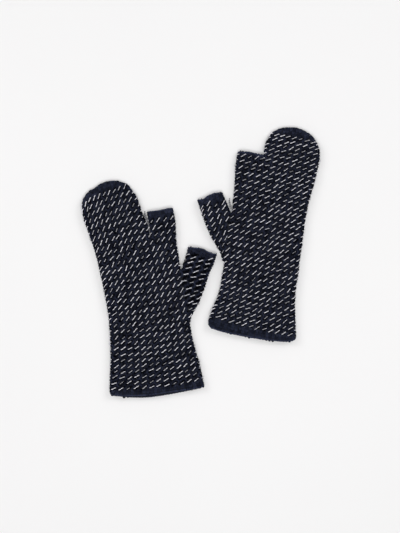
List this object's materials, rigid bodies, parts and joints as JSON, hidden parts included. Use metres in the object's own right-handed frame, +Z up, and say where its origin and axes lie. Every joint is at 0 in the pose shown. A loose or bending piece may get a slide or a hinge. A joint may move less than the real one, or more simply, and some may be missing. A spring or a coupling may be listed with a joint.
{
  "type": "knitted gloves",
  "caption": "Pair of hand-knitted gloves lying flat, with an open thumb stub, an open index-finger stub and one closed pocket for the other fingers.",
  "frame": {"origin": "on the surface the gloves lie on, under the middle of the pair", "axes": "+Z up, through the backs of the hands; +Y towards the fingertips; +X towards the right-hand glove"},
  "size_m": [0.285, 0.324, 0.01],
  "materials": {
    "navy_yarn": "matt wool",
    "cream_yarn": "matt wool"
  },
  "bodies": {
    "left_hand": {"left_hand": "navy_yarn", "left_cuff_band": "navy_yarn"},
    "left_thumb": {"left_thumb": "navy_yarn", "left_thumb_edge": "navy_yarn"},
    "left_index": {"left_index": "navy_yarn", "left_index_edge": "navy_yarn"},
    "left_mitten": {"left_mitten": "navy_yarn", "left_tip_cap": "navy_yarn"},
    "right_hand": {"right_hand": "navy_yarn", "right_cuff_band": "navy_yarn"},
    "right_thumb": {"right_thumb": "navy_yarn", "right_thumb_edge": "navy_yarn"},
    "right_index": {"right_index": "navy_yarn", "right_index_edge": "navy_yarn"},
    "right_mitten": {"right_mitten": "navy_yarn", "right_tip_cap": "navy_yarn"}
  },
  "joints": [
    {"name": "left_thumb_fold", "type": "hinge", "parent": "left_hand", "child": "left_thumb", "pos_m": [-0.00686, -0.01207, 0.01], "axis": [0.9487, -0.3162, 0], "range_deg": [0, 80]},
    {"name": "left_index_fold", "type": "hinge", "parent": "left_hand", "child": "left_index", "pos_m": [-0.04553, 0.04062, 0.01], "axis": [0.9777, 0.2102, 0], "range_deg": [0, 80]},
    {"name": "left_pocket_fold", "type": "hinge", "parent": "left_hand", "child": "left_mitten", "pos_m": [-0.09637, 0.02969, 0.01], "axis": [0.9777, 0.2102, 0], "range_deg": [0, 80]},
    {"name": "right_glove_lift", "type": "slide", "parent": "left_hand", "child": "right_hand", "axis": [0, 0, 1], "range_m": [0, 0.12]},
    {"name": "right_thumb_fold", "type": "hinge", "parent": "right_hand", "child": "right_thumb", "pos_m": [0.01985, 0.05543, 0.01], "axis": [0.9457, 0.3251, 0], "range_deg": [0, 80]},
    {"name": "right_index_fold", "type": "hinge", "parent": "right_hand", "child": "right_index", "pos_m": [0.05408, 0.0956, 0.01], "axis": [0.9862, -0.1653, 0], "range_deg": [0, 80]},
    {"name": "right_pocket_fold", "type": "hinge", "parent": "right_hand", "child": "right_mitten", "pos_m": [0.10093, 0.08775, 0.01], "axis": [0.9862, -0.1653, 0], "range_deg": [0, 80]}
  ]
}
